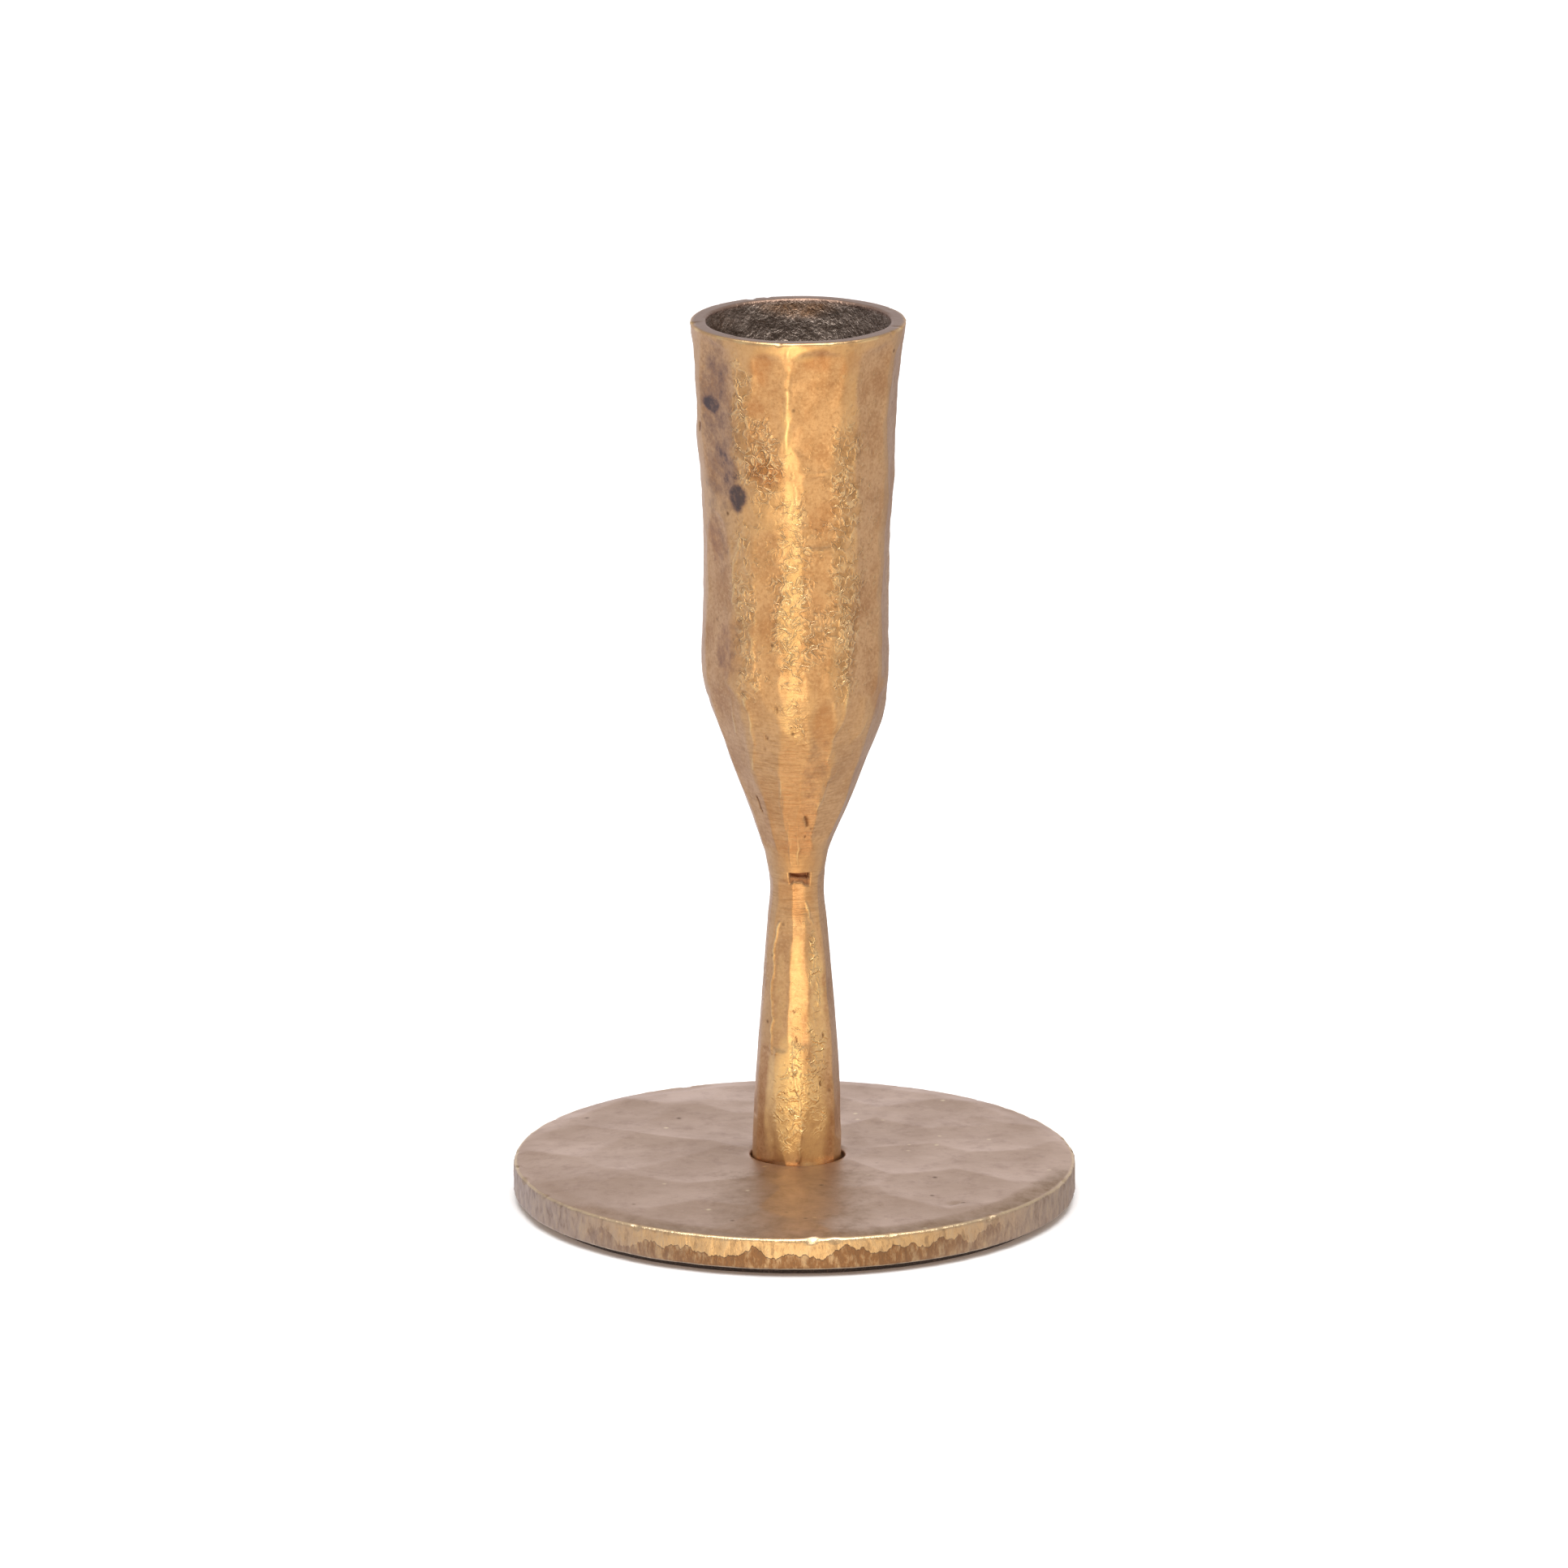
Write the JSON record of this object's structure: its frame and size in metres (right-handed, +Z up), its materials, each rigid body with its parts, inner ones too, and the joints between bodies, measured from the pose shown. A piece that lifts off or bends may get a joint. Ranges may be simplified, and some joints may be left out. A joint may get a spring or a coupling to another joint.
{
  "type": "candlestick",
  "caption": "Hand-forged brass candlestick: a slim flared candle cup tapering to a waisted stem on a round hammered base plate.",
  "frame": {"origin": "centre of the felt pad's underside, on the surface that the candlestick stands on", "axes": "+Z up along the stem, -Y towards the side with the small notch at the neck, +X to that side's right"},
  "size_m": [0.072, 0.072, 0.115],
  "materials": {
    "forged_brass": "forged, filed and darkened, with polished high spots",
    "plate_brass": "hammered and browned, satin",
    "screw_brass": "turned, bright",
    "felt": "matt wool felt"
  },
  "bodies": {
    "root": {"candle_cup": "forged_brass", "stem": "forged_brass", "base_plate": "plate_brass", "base_screw": "screw_brass", "felt_pad": "felt"}
  },
  "joints": []
}
